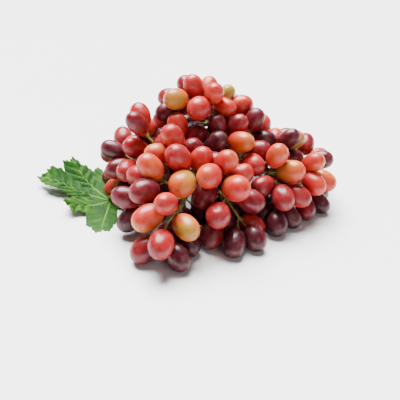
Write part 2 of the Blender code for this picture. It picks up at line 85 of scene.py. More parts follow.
# The woody skeleton: radius at each end as a share of STEM_RADIUS, then its points in plan mm.
BRANCHES = (
    ("rachis", 1.00, 0.56, (
        (34, 118, 34), (24, 88, 46), (10, 54, 48), (0, 22, 42), (-8, -12, 36), (-20, -46, 26),
    )),
    ("crown", 0.68, 0.47, ((10, 54, 48), (2, 54, 72))),
    ("right", 0.70, 0.44, ((6, 40, 46), (44, 34, 34), (84, 40, 24))),
    ("right_front", 0.56, 0.41, ((44, 34, 34), (66, 8, 26))),
    ("left", 0.68, 0.44, ((3, 30, 44), (-32, 26, 44), (-60, 20, 28))),
    ("front_right", 0.59, 0.41, ((-3, 6, 40), (22, -22, 28))),
    ("back_left", 0.59, 0.41, ((16, 68, 48), (-22, 76, 38), (-46, 66, 24))),
    ("back_right", 0.59, 0.41, ((24, 88, 46), (58, 78, 28))),
)

# Where the three berries of each branchlet are planned: x, y, z in plan mm, ripeness with painted shade
# from 0 (green) through 1 (amber), 2 (coral), 3 (red), 4 (plum) to 5 (dark), and a size where it is unusual.
# The class is partly the berry's own colour and partly painted shade: the berries low in the heap and
# inside it are given the plum and dark classes because they lie in shade.
CLUSTERS = (
    ("crown_peak", (-17, 62, 93, 4), (2, 66, 91, 3), (-10, 50, 92, 3)),
    ("crown_left", (-34, 54, 84, 4), (-24, 38, 88, 1, 1.1), (-38, 40, 72, 5)),
    ("crown_front", (-2, 28, 82, 3, 1.12), (-4, 42, 90, 3), (12, 44, 82, 3)),
    ("crown_small", (16, 58, 86, 0, 0.76), (23, 46, 75, 4), (36, 58, 82, 2, 1.1)),
    ("crown_right", (39, 46, 71, 5), (55, 62, 62, 2), (55, 40, 54, 5)),
    ("crown_face_left", (-24, 26, 75, 2), (-9, 14, 69, 4), (-33, 32, 65, 5)),
    ("crown_face_right", (11, 32, 76, 5), (24, 34, 69, 4), (32, 18, 64, 1, 1.05)),
    ("crown_under", (10, 14, 66, 5), (6, 6, 57, 4), (-9, 4, 58, 4)),
    ("crown_back_left", (-14, 82, 82, 3), (-34, 74, 68, 4), (-16, 90, 64, 4)),
    ("crown_back_right", (8, 86, 80, 4), (24, 78, 72, 3), (8, 96, 60, 4)),
    ("crown_shoulder", (44, 76, 62, 3), (32, 92, 54, 4), (54, 84, 46, 4)),
    ("left_high", (-52, 44, 66, 3), (-44, 56, 70, 3), (-45, 22, 58, 5)),
    ("left_mid", (-60, 22, 50, 3), (-67, 36, 54, 3), (-54, 4, 48, 2)),
    ("left_side", (-75, 28, 41, 5), (-78, 18, 30, 4), (-62, -6, 43, 3)),
    ("left_low", (-73, -4, 17, 5), (-87, 8, 11, 1, 0.76), (-70, 12, 18, 4)),
    ("left_foot", (-55, -36, 30, 4), (-56, -44, 20, 5), (-68, -20, 11, 5)),
    ("left_back", (-80, 40, 30, 4), (-72, 52, 42, 3), (-78, 52, 18, 4)),
    ("left_back_high", (-56, 62, 52, 3), (-44, 76, 50, 4), (-60, 74, 34, 4)),
    ("left_back_low", (-72, 66, 11, 4), (-56, 86, 14, 4), (-50, 86, 32, 3)),
    ("ridge_left", (-42, -12, 64, 1), (-28, -8, 64, 2), (-25, 6, 65, 3)),
    ("ridge_edge", (-44, -32, 58, 2), (-57, -28, 43, 2), (-46, -50, 45, 4, 1.08)),
    ("ridge_mid", (-24, -26, 59, 3, 1.1), (-4, -10, 50, 3), (-17, -46, 50, 1, 1.12)),
    ("ridge_front", (8, -32, 50, 2, 1.12), (15, -14, 52, 2), (-9, -54, 35, 4)),
    ("front_face", (-31, -60, 38, 2), (-43, -56, 28, 4), (-54, -66, 23, 1, 1.05)),
    ("front_toe", (-27, -84, 24, 3, 1.08), (-46, -80, 12, 4), (-13, -88, 12, 5)),
    ("front_toe_in", (-13, -70, 24, 1), (-28, -62, 12, 5), (-2, -66, 11, 5)),
    ("front_foot", (13, -62, 12, 4), (22, -48, 21, 4), (12, -48, 32, 3, 1.1)),
    ("front_foot_right", (28, -60, 11, 5), (42, -46, 11, 5), (39, -36, 19, 3)),
    ("centre_face", (27, -34, 41, 1, 1.15), (41, -30, 34, 4), (30, -16, 44, 3)),
    ("centre_top", (29, -4, 50, 2), (46, 0, 49, 2, 1.05), (44, 16, 52, 4)),
    ("right_near", (58, 14, 50, 2), (71, 8, 43, 1, 1.05), (80, 18, 42, 3)),
    ("right_face", (60, -8, 36, 3), (68, -16, 18, 4), (81, -8, 30, 3)),
    ("right_foot", (64, -34, 11, 5), (52, -20, 12, 5), (86, -10, 10, 5)),
    ("right_end", (93, 28, 40, 1), (97, 10, 30, 2), (112, 22, 28, 1)),
    ("right_end_low", (100, 4, 14, 4), (110, 16, 11, 5), (112, 34, 12, 4)),
    ("right_top", (70, 58, 52, 2), (82, 54, 47, 1), (69, 38, 48, 5)),
    ("right_top_end", (95, 66, 44, 3), (110, 66, 34, 2), (101, 46, 37, 4)),
    ("right_top_mid", (84, 36, 45, 4), (64, 26, 46, 4), (72, 44, 34, 5)),
    ("right_back", (76, 78, 42, 4), (72, 94, 28, 4), (90, 90, 22, 4)),
    ("right_back_low", (112, 56, 12, 4), (104, 74, 11, 5), (88, 72, 14, 5)),
    ("back_high", (-20, 104, 46, 4), (2, 110, 42, 3), (-34, 96, 40, 4)),
    ("back_mid", (24, 106, 40, 4), (48, 98, 36, 3), (42, 110, 20, 4)),
    ("back_low_left", (-36, 106, 20, 4), (-16, 114, 24, 4), (-26, 108, 10, 5)),
    ("back_low_mid", (4, 118, 22, 4), (20, 116, 12, 5), (-4, 112, 10, 5)),
    ("back_low_right", (58, 102, 12, 4), (76, 96, 10, 4), (40, 100, 10, 5)),
    ("back_face", (-12, 100, 34, 4), (10, 102, 30, 4), (26, 96, 26, 4)),
    ("back_face_left", (-34, 92, 26, 4), (-50, 98, 22, 5), (-44, 104, 36, 3)),
    ("under_left", (-40, 0, 24, 5), (-46, 18, 12, 5), (-34, -20, 12, 5)),
    ("under_left_back", (-40, 44, 14, 5), (-52, 60, 12, 5), (-26, 62, 12, 5)),
    ("under_front", (-16, -36, 24, 5), (2, -32, 22, 5), (-32, -34, 24, 5)),
    ("under_centre", (18, -8, 14, 5), (0, 6, 12, 5), (34, -24, 12, 5)),
    ("under_right", (44, 4, 14, 5), (66, 4, 12, 5), (54, 20, 12, 5)),
    ("under_right_back", (80, 28, 12, 5), (66, 50, 14, 5), (84, 52, 12, 5)),
    ("under_back", (10, 64, 14, 5), (-8, 86, 14, 5), (28, 82, 14, 5)),
    ("under_mid", (20, 34, 14, 5), (40, 56, 14, 5), (-14, 36, 14, 5)),
    ("inner_left", (-22, 48, 38, 5), (-10, 64, 36, 5), (-28, 62, 42, 5)),
    ("inner_right", (36, 56, 38, 5), (26, 66, 32, 5), (50, 58, 34, 5)),
    ("inner_crown", (-14, 50, 58, 5), (-24, 62, 58, 5), (-6, 66, 62, 5)),
)


# ---- vectors ----
def length(v):
    return np.sqrt((v * v).sum(-1))


def unit(v):
    return v / np.maximum(length(v), 1e-9)[..., None]


def planned(points):
    """Plan millimetres turned into real millimetres by the three overall reaches."""
    reach = np.array((BUNCH_WIDTH, BUNCH_DEPTH, BUNCH_HEIGHT)) / MM
    pivot = np.array(PLAN_PIVOT)
    moved = (np.array(points, float) - pivot) * (reach / np.array(PLAN_SIZE)) + pivot
    return moved


def smooth_line(points, count):
    """A Catmull-Rom curve through the points, as count steps."""
    points = np.array(points, float)
    ends = np.vstack([2 * points[0] - points[1], points, 2 * points[-1] - points[-2]])
    spans = len(points) - 1
    made = []
    for t in np.linspace(0, spans, count + 1):
        k = min(int(t), spans - 1)
        s = t - k
        a, b, c, d = ends[k : k + 4]
        square = (2 * a - 5 * b + 4 * c - d) * s**2
        cube = (3 * b - a - 3 * c + d) * s**3
        made.append(0.5 * (2 * b + (c - a) * s + square + cube))
    return np.array(made)


def closest(p1, d1, h1, p2, d2, h2):
    """The closest points of segments given by middle, direction and half length."""
    r = p1 - p2
    b = (d1 * d2).sum(-1)
    c = (d1 * r).sum(-1)
    f = (d2 * r).sum(-1)
    s = np.clip((b * f - c) / np.maximum(1 - b * b, 1e-6), -h1, h1)
    t = np.clip(b * s + f, -h2, h2)
    s = np.clip(b * t - c, -h1, h1)
    return p1 + d1 * s[..., None], p2 + d2 * t[..., None]


# ---- the layout, all in millimetres ----
def skeleton():
    """Every branch as (points, radii)."""
    lines = []
    for _, thick, thin, points in BRANCHES:
        points = planned(points)
        count = max(2, int(length(np.diff(points, axis=0)).sum() / 14))
        radii = np.linspace(thick, thin, count + 1) * STEM_RADIUS / MM
        lines.append((smooth_line(points, count), radii))
    return lines


def skeleton_segments(lines):
    starts = np.vstack([line[:-1] for line, _ in lines])
    ends = np.vstack([line[1:] for line, _ in lines])
    radii = np.concatenate([np.maximum(r[:-1], r[1:]) for _, r in lines])
    return starts, ends, radii


def nearest_on(points, starts, ends):
    along = ends - starts
    t = ((points[:, None] - starts) * along).sum(-1) / (along * along).sum(-1)
    spots = starts + along * np.clip(t, 0, 1)[..., None]
    best = length(points[:, None] - spots).argmin(1)
    return spots[np.arange(len(points)), best]


def berry_sizes(centres, wished, ripeness, rng):
    """Half length and half width of each berry: larger at the front, smaller inside and at the back."""
    back = (centres[:, 1] - centres[:, 1].min()) / np.ptp(centres[:, 1])
    size = wished * rng.uniform(0.95, 1.04, len(wished))
    size = size * (FRONT_SWELL + (BACK_SWELL - FRONT_SWELL) * back)
    size = size * np.where(ripeness == 5, 0.95, 1.0)
    slim = rng.uniform(0.97, 1.04, len(wished))
    return BERRY_LENGTH / MM / 2 * size * slim, BERRY_WIDTH / MM / 2 * size / slim


def branchlet_tips(centres, feet, outward):
    middles = centres.reshape(-1, 3, 3).mean(1)
    depth = np.minimum(TIP_DEPTH, length(middles - feet) * 0.75)
    return middles - outward * depth[:, None]


def floor_under(centres):
    """The lowest a berry may reach: it sinks a little on the surface and stays above the leaf."""
    over_leaf = (centres[:, 0] < -50) & (np.abs(centres[:, 1] - 4) < 46)
    return np.where(over_leaf, LEAF_CLEARANCE, -FLOOR_PRESS)


def push_berries(move, pair, joined, c, u, half, wide):
    i, j = pair
    p, q = closest(c[i], u[i], half[i], c[j], u[j], half[j])
    away = q - p
    dist = length(away)
    want = wide[i] + wide[j] + np.where(joined, -PRESS, GAP)
    lack = want - dist
    lack = np.where(joined, lack * 1.3, np.maximum(lack, 0)) * 0.42
    push = away / np.maximum(dist, 1e-6)[:, None] * lack[:, None]
    np.add.at(move, j, push)
    np.add.at(move, i, -push)


def push_off_stems(move, sticks, c, u, half, wide):
    start, end, radius, own = sticks
    middle = (start + end) / 2
    along = unit(end - start)
    reach = length(end - start) / 2
    x, y = np.nonzero(length(middle[:, None] - c[None]) < reach[:, None] + 16)
    other = own[x] != y
    x, y = x[other], y[other]
    p, q = closest(middle[x], along[x], reach[x], c[y], u[y], half[y])
    away = q - p
    dist = length(away)
    lack = np.maximum(wide[y] + radius[x] + GAP - dist, 0) * 0.5
    np.add.at(move, y, away / np.maximum(dist, 1e-6)[:, None] * lack[:, None])


def pick_joined(pair, cluster, c, u, half, wide):
    """In every cluster the two closest pairs of berries press together."""
    i, j = pair
    p, q = closest(c[i], u[i], half[i], c[j], u[j], half[j])
    gap = length(q - p) - wide[i] - wide[j]
    joined = np.zeros(len(i), bool)
    for k in range(cluster.max() + 1):
        mine = np.nonzero((cluster[i] == k) & (cluster[j] == k))[0]
        mine = mine[np.argsort(gap[mine], kind="stable")]
        joined[mine[:2]] = True
    return joined


def settle():
    """Every berry's centre, axis and size, and where its pedicel and branchlet start."""
    rng = np.random.default_rng(SEED)
    rows = [berry for entry in CLUSTERS for berry in entry[1:]]
    # The colour class of each berry: its ripeness, with painted shade on the low and inner ones.
    ripeness = np.array([row[3] for row in rows])
    wished = np.array([row[4] if len(row) > 4 else 1.0 for row in rows])
    c = planned([row[:3] for row in rows])
    goal = c.copy()
    long, wide = berry_sizes(c, wished, ripeness, rng)
    half = long - wide
    cluster = np.repeat(np.arange(len(CLUSTERS)), 3)
    lines = skeleton()
    starts, ends, radii = skeleton_segments(lines)
    middles = c.reshape(-1, 3, 3).mean(1)
    inward = unit(planned(CORE) - middles) * 0.7 * TIP_DEPTH
    feet = nearest_on(middles + inward, starts[PEDUNCLE_STEPS:], ends[PEDUNCLE_STEPS:])
    outward = unit(unit(middles - feet) + np.array(LEAN))
    pair = np.triu_indices(len(c), 1)
    joined = np.zeros(len(pair[0]), bool)
    own = np.concatenate([np.full(len(starts) + len(feet), -1), np.arange(len(c))])
    radius = np.concatenate([radii, np.full(len(feet), 1.25), np.full(len(c), 1.15)])
    for step in range(STEPS):
        tips = branchlet_tips(c, feet, outward)
        hung = tips[cluster]
        u = unit(c - hung)
        if step == STEPS // 3:
            joined = pick_joined(pair, cluster, c, u, half, wide)
        near = length(c[pair[0]] - c[pair[1]]) < 2.8 * BERRY_LENGTH / MM / 2
        move = np.zeros_like(c)
        close_pair = (pair[0][near], pair[1][near])
        push_berries(move, close_pair, joined[near], c, u, half, wide)
        stalk = c - u * long[:, None]
        sticks = (np.vstack([starts, feet, hung]), np.vstack([ends, tips, stalk]), radius, own)
        push_off_stems(move, sticks, c, u, half, wide)
        move *= np.minimum(1, 1.5 / np.maximum(length(move), 1e-9))[:, None]
        c = c + move
        if step < STEPS * 0.72:
            c = c + (goal - c) * 0.06
        hung = branchlet_tips(c, feet, outward)[cluster]
        r = length(c - hung)
        fit = np.clip(r, long + PEDICEL_REACH[0], long + PEDICEL_REACH[1])
        c = hung + (c - hung) * ((r + (fit - r) * 0.5) / r)[:, None]
        u = unit(c - hung)
        low = c[:, 2] - wide - half * np.abs(u[:, 2])
        over = low - floor_under(c)
        c[:, 2] += np.maximum(-over, 0)
        c[:, 2] -= np.where((over > 0) & (over < 5), np.minimum(0.15, over), 0)
    tips = branchlet_tips(c, feet, outward)
    return {
        "centre": c,
        "axis": unit(c - tips[cluster]),
        "long": long,
        "wide": wide,
        "ripeness": ripeness,
        "tips": tips,
        "feet": feet,
        "lines": lines,
        "joined": set(zip(pair[0][joined].tolist(), pair[1][joined].tolist())),
    }


# ---- sizes of the fine detail, mm ----
PLAN_ORIGIN = (15.907, -12.417)  # the plan's origin in the shared frame, where the outline is centred
SKIN_RINGS = 26  # from the stem end of a berry to its blossom end
SKIN_SIDES = 36
SKIN_SHARE = 0.992  # a round skin over the flat facets of the frame
CONTACT_GAP = 0.05  # between two pressed skins
CONTACT_EASE = 0.22  # how softly a skin turns into its flat
DIMPLE = (0.55, 1.9)  # depth and reach of the hollow at the stem end
SCAR = (0.30, 1.05)  # the same for the scar at the blossom end
UNEVEN = 0.014  # how far a berry is from a perfect oval, as a share of its width
RIPENESS_AND_PAINTED_SHADE = (0.06, 0.27, 0.42, 0.57, 0.74, 0.92)  # of the plan's six classes, from green to dark; the darker ones are partly painted shade
CROWN_FROM = 48.0  # height from which red and dark berries are painted paler, as painted light on the top of the heap
CROWN_OVER = 30.0  # over this much more height
CROWN_PAINTED_LIGHT = 0.15  # painted light: the colour moves this much towards the pale end at the top
RIPE_CHEEK = (0.08, 0.17, 0.12, 0.09, 0.07, 0.05)  # how much one side differs from the middle
PEDICEL_SIDES = 8
PEDICEL_RINGS = 9
BLADE_RINGS = 54
BLADE_STEPS = 360
BLADE_THICKNESS = 0.45
BLADE_QUILT = 1.7  # how high the skin stands between the side veins
BODY = "root"


# ---- the three skins of the record, by mean ripeness and painted shade ----
def slot_of(ripeness):
    if ripeness < 2.4:
        return "skin_coral"
    return "skin_red" if ripeness < 4.2 else "skin_plum"


# ---- meshes ----
def in_frame(points):
    """Plan millimetres to metres in the shared frame, kept inside the frame's own box."""
    moved = (np.asarray(points, float) + (*PLAN_ORIGIN, 0.0)) * MM
    low, high = (np.array(corner) for corner in CAD_BOUNDS)
    return np.clip(moved, low, high)


def add_piece(name, points, faces, material, layers):
    """One shown piece with smooth faces and a named value on every point for its material."""
    mesh = bpy.data.meshes.new(name)
    mesh.from_pydata(in_frame(points).tolist(), [], faces)
    mesh.polygons.foreach_set("use_smooth", [True] * len(mesh.polygons))
    for layer, values in layers.items():
        values = np.asarray(values, np.float32)
        if values.ndim == 2:
            mesh.attributes.new(layer, "FLOAT_VECTOR", "POINT").data.foreach_set("vector", values.ravel())
        else:
            mesh.attributes.new(layer, "FLOAT", "POINT").data.foreach_set("value", values)
    mesh.materials.append(material)
    mesh.update()
    obj = bpy.data.objects.new(name, mesh)
    bpy.context.scene.collection.objects.link(obj)
    return obj


def hand_in(obj, node):
    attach(obj, BODY)
    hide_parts(node)


class Parts:
    """Points, faces and point values gathered from several forms."""

    def __init__(self):
        self.points = []
        self.faces = []
        self.layers = {}
        self.count = 0

    def add(self, points, faces, **layers):
        self.points.append(points)
        self.faces += [tuple(n + self.count for n in face) for face in faces]
        self.count += len(points)
        for layer, values in layers.items():
            self.layers.setdefault(layer, []).append(values)

    def piece(self, name, material):
        layers = {layer: np.concatenate(values) for layer, values in self.layers.items()}
        return add_piece(name, np.vstack(self.points), self.faces, material, layers)


# ---- berries ----
def globe():
    """A fine globe with a pole at each end of Z: its points, its faces, and each point's turn round Z."""
    share = np.arange(1, SKIN_RINGS) / SKIN_RINGS
    down = np.pi * (1 - share + 0.055 * np.sin(2 * np.pi * share))
    turn = 2 * np.pi * np.arange(SKIN_SIDES) / SKIN_SIDES
    down, turn = (grid.ravel() for grid in np.meshgrid(down, turn, indexing="ij"))
    middle = np.stack([np.sin(down) * np.cos(turn), np.sin(down) * np.sin(turn), np.cos(down)], 1)
    points = np.vstack([(0, 0, -1), middle, (0, 0, 1)])
    last = len(points) - 1
    faces = []
    for n in range(SKIN_SIDES):
        m = (n + 1) % SKIN_SIDES
        faces.append((0, 1 + m, 1 + n))
        faces.append((last, last - SKIN_SIDES + n, last - SKIN_SIDES + m))
        for ring in range(SKIN_RINGS - 2):
            low = 1 + ring * SKIN_SIDES
            high = low + SKIN_SIDES
            faces.append((low + n, low + m, high + m, high + n))
    return points, faces


def berry_form(globe_points, long, wide, rng):
    """One berry along its own Z, in mm: an uneven oval with a hollow stem end and a blossom scar."""
    t = globe_points[:, 2]
    turn = np.arctan2(globe_points[:, 1], globe_points[:, 0])
    shift = rng.uniform(0, 2 * np.pi, 3)
    waves = np.sin(2 * turn + shift[0]) + 0.6 * np.sin(3 * turn + shift[1] + 2 * t)
    waves = waves + np.sin(2.6 * t + shift[2])
    swell = SKIN_SHARE - UNEVEN * (1 - t * t) * (0.5 + 0.25 * waves)
    form = globe_points * (wide * swell)[:, None]
    form[:, 2] += (long - wide) * (1.5 * t - 0.5 * t**3) * SKIN_SHARE
    off = length(form[:, :2])
    form[:, 2] += np.where(t < 0, DIMPLE[0] * np.exp(-((off / DIMPLE[1]) ** 2)), 0)
    form[:, 2] -= np.where(t > 0, SCAR[0] * np.exp(-((off / SCAR[1]) ** 2)), 0)
    return form


def press_down(distance, ease):
    """How far each point goes back: all of a positive distance, none of a clearly negative one."""
    return 0.5 * (distance + np.sqrt(distance * distance + ease * ease))


def press_on_others(points, k, layout, pairs):
    """Flattens berry k where it is pressed on another and where it rests on the surface."""
    c, u, wide = layout["centre"], layout["axis"], layout["wide"]
    half = layout["long"] - wide
    for j in pairs[k]:
        p, q = closest(c[k], u[k], half[k], c[j], u[j], half[j])
        apart = q - p
        gap = length(apart) - wide[k] - wide[j]
        ahead = unit(apart)
        flat = p + ahead * (wide[k] + gap / 2 - CONTACT_GAP / 2)
        points = points - press_down((points - flat) @ ahead, CONTACT_EASE)[:, None] * ahead
    points[:, 2] = press_down(points[:, 2], CONTACT_EASE / 2)
    return points


def ripeness_over(points, plan, height, rng):
    """The colour place of each point, 0 to 1, for ripening with painted light and shade: one cheek is riper
    than the other, most of all on an amber berry.

    Painted light: red and dark berries are made paler the nearer they are to the crown of the heap, where the
    light falls.
    """
    cheek = unit(rng.normal(size=3))
    middle = RIPENESS_AND_PAINTED_SHADE[plan] + rng.uniform(-0.05, 0.05)
    if plan >= 3:
        # Painted light: paler towards the crown of the heap, where the light falls.
        middle -= CROWN_PAINTED_LIGHT * np.clip((height - CROWN_FROM) / CROWN_OVER, 0, 1)
    return middle + RIPE_CHEEK[plan] * (points @ cheek)


def touching(layout):
    """Which berries each berry is pressed on."""
    pairs = {k: [] for k in range(len(layout["centre"]))}
    for a, b in layout["joined"]:
        pairs[a].append(b)
        pairs[b].append(a)
    return pairs


def make_berries(layout, skins):
    rng = np.random.default_rng(SEED + 1)
    points, faces = globe()
    pairs = touching(layout)
    for number, entry in enumerate(CLUSTERS):
        parts = Parts()
        three = range(3 * number, 3 * number + 3)
        for k in three:
            form = berry_form(points, layout["long"][k], layout["wide"][k], rng)
            turn = np.array(Vector(layout["axis"][k]).to_track_quat("Z", "Y").to_matrix())
            placed = press_on_others(form @ turn.T + layout["centre"][k], k, layout, pairs)
            # Colour place on every point: ripening with painted shade on low and inner berries and painted
            # light near the crown.
            ripe = ripeness_over(points, layout["ripeness"][k], layout["centre"][k][2], rng)
            berry = np.full(len(points), rng.uniform(0, 1))
            parts.add(placed, faces, skin_at=form, along=points[:, 2], ripe=ripe, berry=berry)
        slot = slot_of(sum(layout["ripeness"][k] for k in three) / 3)
        hand_in(parts.piece("skin_of_" + entry[0], skins[slot]), "berries_" + entry[0])


# ---- stem ----
def tube(parts, points, radii, woody, sides=PEDICEL_SIDES, end=0.0):
    """A round, closed, slightly rippled tube. woody and end are values for its material."""
    points = np.asarray(points, float)
    along = unit(np.gradient(points, axis=0))
    side = np.array(Vector(along[0]).orthogonal().normalized())
    rings = []
    for k, point in enumerate(points):
        side = unit(side - along[k] * (side @ along[k]))
        up = np.cross(along[k], side)
        turn = 2 * np.pi * np.arange(sides) / sides
        ripple = 1 + 0.06 * np.sin(2 * turn + 0.9 * k) + 0.04 * np.sin(3 * turn + 1.7 * k)
        offset = np.cos(turn)[:, None] * side + np.sin(turn)[:, None] * up
        rings.append(point + offset * (radii[k] * ripple)[:, None])
    first = points[0] - along[0] * radii[0] * 0.3
    final = points[-1] + along[-1] * radii[-1] * 0.3
    made = np.vstack([first, *rings, final])
    faces = []
    last = len(made) - 1
    for n in range(sides):
        m = (n + 1) % sides
        faces.append((0, 1 + m, 1 + n))
        faces.append((last, last - sides + n, last - sides + m))
        for ring in range(len(points) - 1):
            low = 1 + ring * sides
            faces.append((low + n, low + m, low + sides + m, low + sides + n))
    steps = np.concatenate([[0], np.repeat(np.linspace(0, 1, len(points)), sides), [1]])
    wood = woody[0] + (woody[1] - woody[0]) * steps
    cut = np.zeros(len(made))
    cut[0] = end
    parts.add(made, faces, woody=wood, cut=cut)


def bent(start, start_way, stop, stop_way, count):
    """A curve that leaves start and reaches stop along the given ways."""
    reach = length(stop - start) * 0.36
    a, b, c, d = start, start + start_way * reach, stop - stop_way * reach, stop
    t = np.linspace(0, 1, count)[:, None]
    return a * (1 - t) ** 3 + 3 * b * t * (1 - t) ** 2 + 3 * c * t * t * (1 - t) + d * t**3


def pedicel_radii(thin, long):
    """Thin in the middle, thicker at the fork, and a warty knob under the berry."""
    t = np.linspace(0, 1, PEDICEL_RINGS)
    knob = np.exp(-(((1 - t) * long / 1.5) ** 2))
    fork = np.exp(-((t * long / 2.0) ** 2))
    return thin * (0.95 + 0.45 * fork + 1.25 * knob)


def make_stem(layout, material):
    parts = Parts()
    thin = PEDICEL_RADIUS / MM
    for number, (line, radii) in enumerate(layout["lines"]):
        fine = smooth_line(line, 4 * (len(line) - 1))
        t = np.linspace(0, 1, len(fine))
        thick = np.interp(t, np.linspace(0, 1, len(radii)), radii) * 0.94
        knots = 1 + 0.10 * np.maximum(np.sin(2 * np.pi * t * (len(line) - 1) / 2), 0) ** 3
        main = number == 0
        tube(parts, fine, thick * knots, (1.0, 0.35) if main else (0.6, 0.3), 14, 1.0 if main else 0.0)
    for k, (foot, tip) in enumerate(zip(layout["feet"], layout["tips"])):
        shoot = unit(tip - foot)
        three = range(3 * k, 3 * k + 3)
        ahead = unit(sum(layout["axis"][n] for n in three))
        line = bent(foot, shoot, tip, unit(shoot + ahead), PEDICEL_RINGS)
        tube(parts, line, np.linspace(1.55, 1.25, PEDICEL_RINGS) * thin, (0.45, 0.15))
        for n in three:
            axis = layout["axis"][n]
            end = layout["centre"][n] - axis * (layout["long"][n] * SKIN_SHARE - DIMPLE[0] * 0.7)
            line = bent(tip - ahead * 0.3, unit(ahead + 2 * axis), end, axis, PEDICEL_RINGS)
            tube(parts, line, pedicel_radii(thin, length(end - tip)), (0.1, 0.55))
    hand_in(parts.piece("fine_stem", material), "stem")


# ---- leaf ----
LEAF_LOBES = (  # direction in degrees, reach and spread of each lobe
    (184, 1.13, 22),
    (152, 1.00, 34),
    (120, 0.90, 32),
    (250, 0.72, 30),
    (298, 0.96, 26),
    (70, 0.60, 24),
)
VEINED_LOBES = 5  # the last one is too small for a main vein
LEAF_MIDDLE = (-88.0, 12.0)  # plan mm
LEAF_TURN = 22.0  # degrees
PETIOLE_SHARE = 0.34  # where the veins meet, from the middle of the blade towards the stem
VEIN_SPACING = 8.5  # between side veins, mm


def leaf_reach(degrees):
    """Outline of the blade round its middle, lobed and toothed, as a share of the leaf's half length."""
    reach = 0.42
    for middle, tall, spread in LEAF_LOBES:
        away = (degrees - middle + 180) % 360 - 180
        reach = np.maximum(reach, tall * np.exp(-((away / spread) ** 2) * 0.55))
    tooth = np.abs((degrees / 12.0) % 1.0 - 0.5) * 2
    small = np.abs((degrees / 4.0) % 1.0 - 0.5) * 2
    return reach * (1.0 - 0.075 * tooth - 0.03 * small)


def leaf_height(x, y):
    """Height of the underside above the surface: flat under the berries, then rising in two soft folds."""
    out = np.clip((-x - 88.0) / 42.0, 0, 1)
    fold = 6.5 * (1 + np.cos(0.085 * (y - 58.0)))
    lift = 6.0 * out * out
    return out * (0.4 + 0.6 * out) * fold + lift


def leaf_spot(degrees, share):
    """A point of the blade seen from above, in plan mm."""
    turn = np.radians(degrees - LEAF_TURN)
    reach = LEAF_LENGTH / MM * 0.56 * leaf_reach(degrees) * share
    return np.stack([LEAF_MIDDLE[0] + reach * np.cos(turn), LEAF_MIDDLE[1] + reach * np.sin(turn)], -1)


def leaf_veins(spots):
    """How much each point is on a main vein and on a side vein, and its place between side veins."""
    root = leaf_spot(np.array(0.0), PETIOLE_SHARE)
    tips = np.array([leaf_spot(np.array(float(lobe[0])), 0.97) for lobe in LEAF_LOBES[:VEINED_LOBES]])
    ways = tips - root
    longs = length(ways)
    ways = ways / longs[:, None]
    rel = spots[:, None, :] - root
    ahead = np.clip((rel * ways).sum(-1), 0, longs)
    off = length(rel - ways * ahead[..., None])
    nearest = off.argmin(1)
    row = np.arange(len(spots))
    off, ahead, long = off[row, nearest], ahead[row, nearest], longs[nearest]
    taper = 1.1 - 0.8 * ahead / long
    main = np.exp(-((off / taper) ** 2))
    phase = (ahead - 0.8 * off) / VEIN_SPACING
    place = np.abs(phase - np.round(phase)) * 2
    side = np.exp(-((place * VEIN_SPACING / 2 / 0.55) ** 2)) * np.clip(1.15 - off / 26, 0.2, 1)
    return main, side, place


def make_leaf(material):
    """The blade as a thin closed sheet: veins sunk into the top, the skin between them raised."""
    degrees = np.arange(BLADE_STEPS) * 360.0 / BLADE_STEPS
    shares = np.linspace(1, 0, BLADE_RINGS, endpoint=False)[::-1]
    share, turn = (grid.ravel() for grid in np.meshgrid(shares, degrees, indexing="ij"))
    spots = np.vstack([LEAF_MIDDLE, leaf_spot(turn, share)])
    main, side, place = leaf_veins(spots)
    edge = np.concatenate([[0], share])
    quilt = np.clip(-spots[:, 0] - 92.0, 0, 12) / 12
    relief = quilt * (BLADE_QUILT * np.sin(np.pi * place / 2) ** 1.5 - 1.2 * main - 0.5 * side)
    ruffle = quilt * np.clip((edge - 0.72) / 0.28, 0, 1) * 1.3 * np.sin(np.radians(15 * np.append(0, turn)))
    low = leaf_height(spots[:, 0], spots[:, 1]) + relief + ruffle
    low = press_down(low, 0.1)
    thick = BLADE_THICKNESS * (1 - 0.7 * np.clip((edge - 0.97) / 0.03, 0, 1))
    top = np.column_stack([spots, low + thick])
    under = np.column_stack([spots, low])
    count = len(spots)
    faces = []
    for n in range(BLADE_STEPS):
        m = (n + 1) % BLADE_STEPS
        faces.append((0, 1 + n, 1 + m))
        faces.append((count, count + 1 + m, count + 1 + n))
        for ring in range(BLADE_RINGS - 1):
            a = 1 + ring * BLADE_STEPS
            b = a + BLADE_STEPS
            faces.append((a + n, b + n, b + m, a + m))
            faces.append((count + a + n, count + a + m, count + b + m, count + b + n))
        rim = 1 + (BLADE_RINGS - 1) * BLADE_STEPS
        faces.append((rim + n, count + rim + n, count + rim + m, rim + m))
    vein = np.maximum(main, 0.55 * side)
    parts = Parts()
    parts.add(
        np.vstack([top, under]),
        faces,
        vein=np.tile(vein, 2),
        crest=np.tile(place, 2),
        edge=np.tile(edge, 2),
        under=np.repeat([0.0, 1.0], count),
        leaf_at=np.vstack([top, top]),
    )
    hand_in(parts.piece("fine_leaf", material), "leaf")


# ---- materials ----
def put(tree, kind, inputs=None, **settings):
    """A new shader node. Its inputs take plain values or other nodes' outputs."""
    node = tree.nodes.new("ShaderNode" + kind)
    for name, value in settings.items():
        setattr(node, name, value)
    for socket, value in (inputs or {}).items():
        if isinstance(value, bpy.types.NodeSocket):
            tree.links.new(value, node.inputs[socket])
        else:
            node.inputs[socket].default_value = value
    return node


def calc(tree, operation, a, b=0.0, clamp=False):
    return put(tree, "Math", {0: a, 1: b}, operation=operation, use_clamp=clamp).outputs[0]


def scaled(tree, value, factor, start):
    """The value times the factor, plus the start."""
    return put(tree, "Math", {0: value, 1: factor, 2: start}, operation="MULTIPLY_ADD").outputs[0]


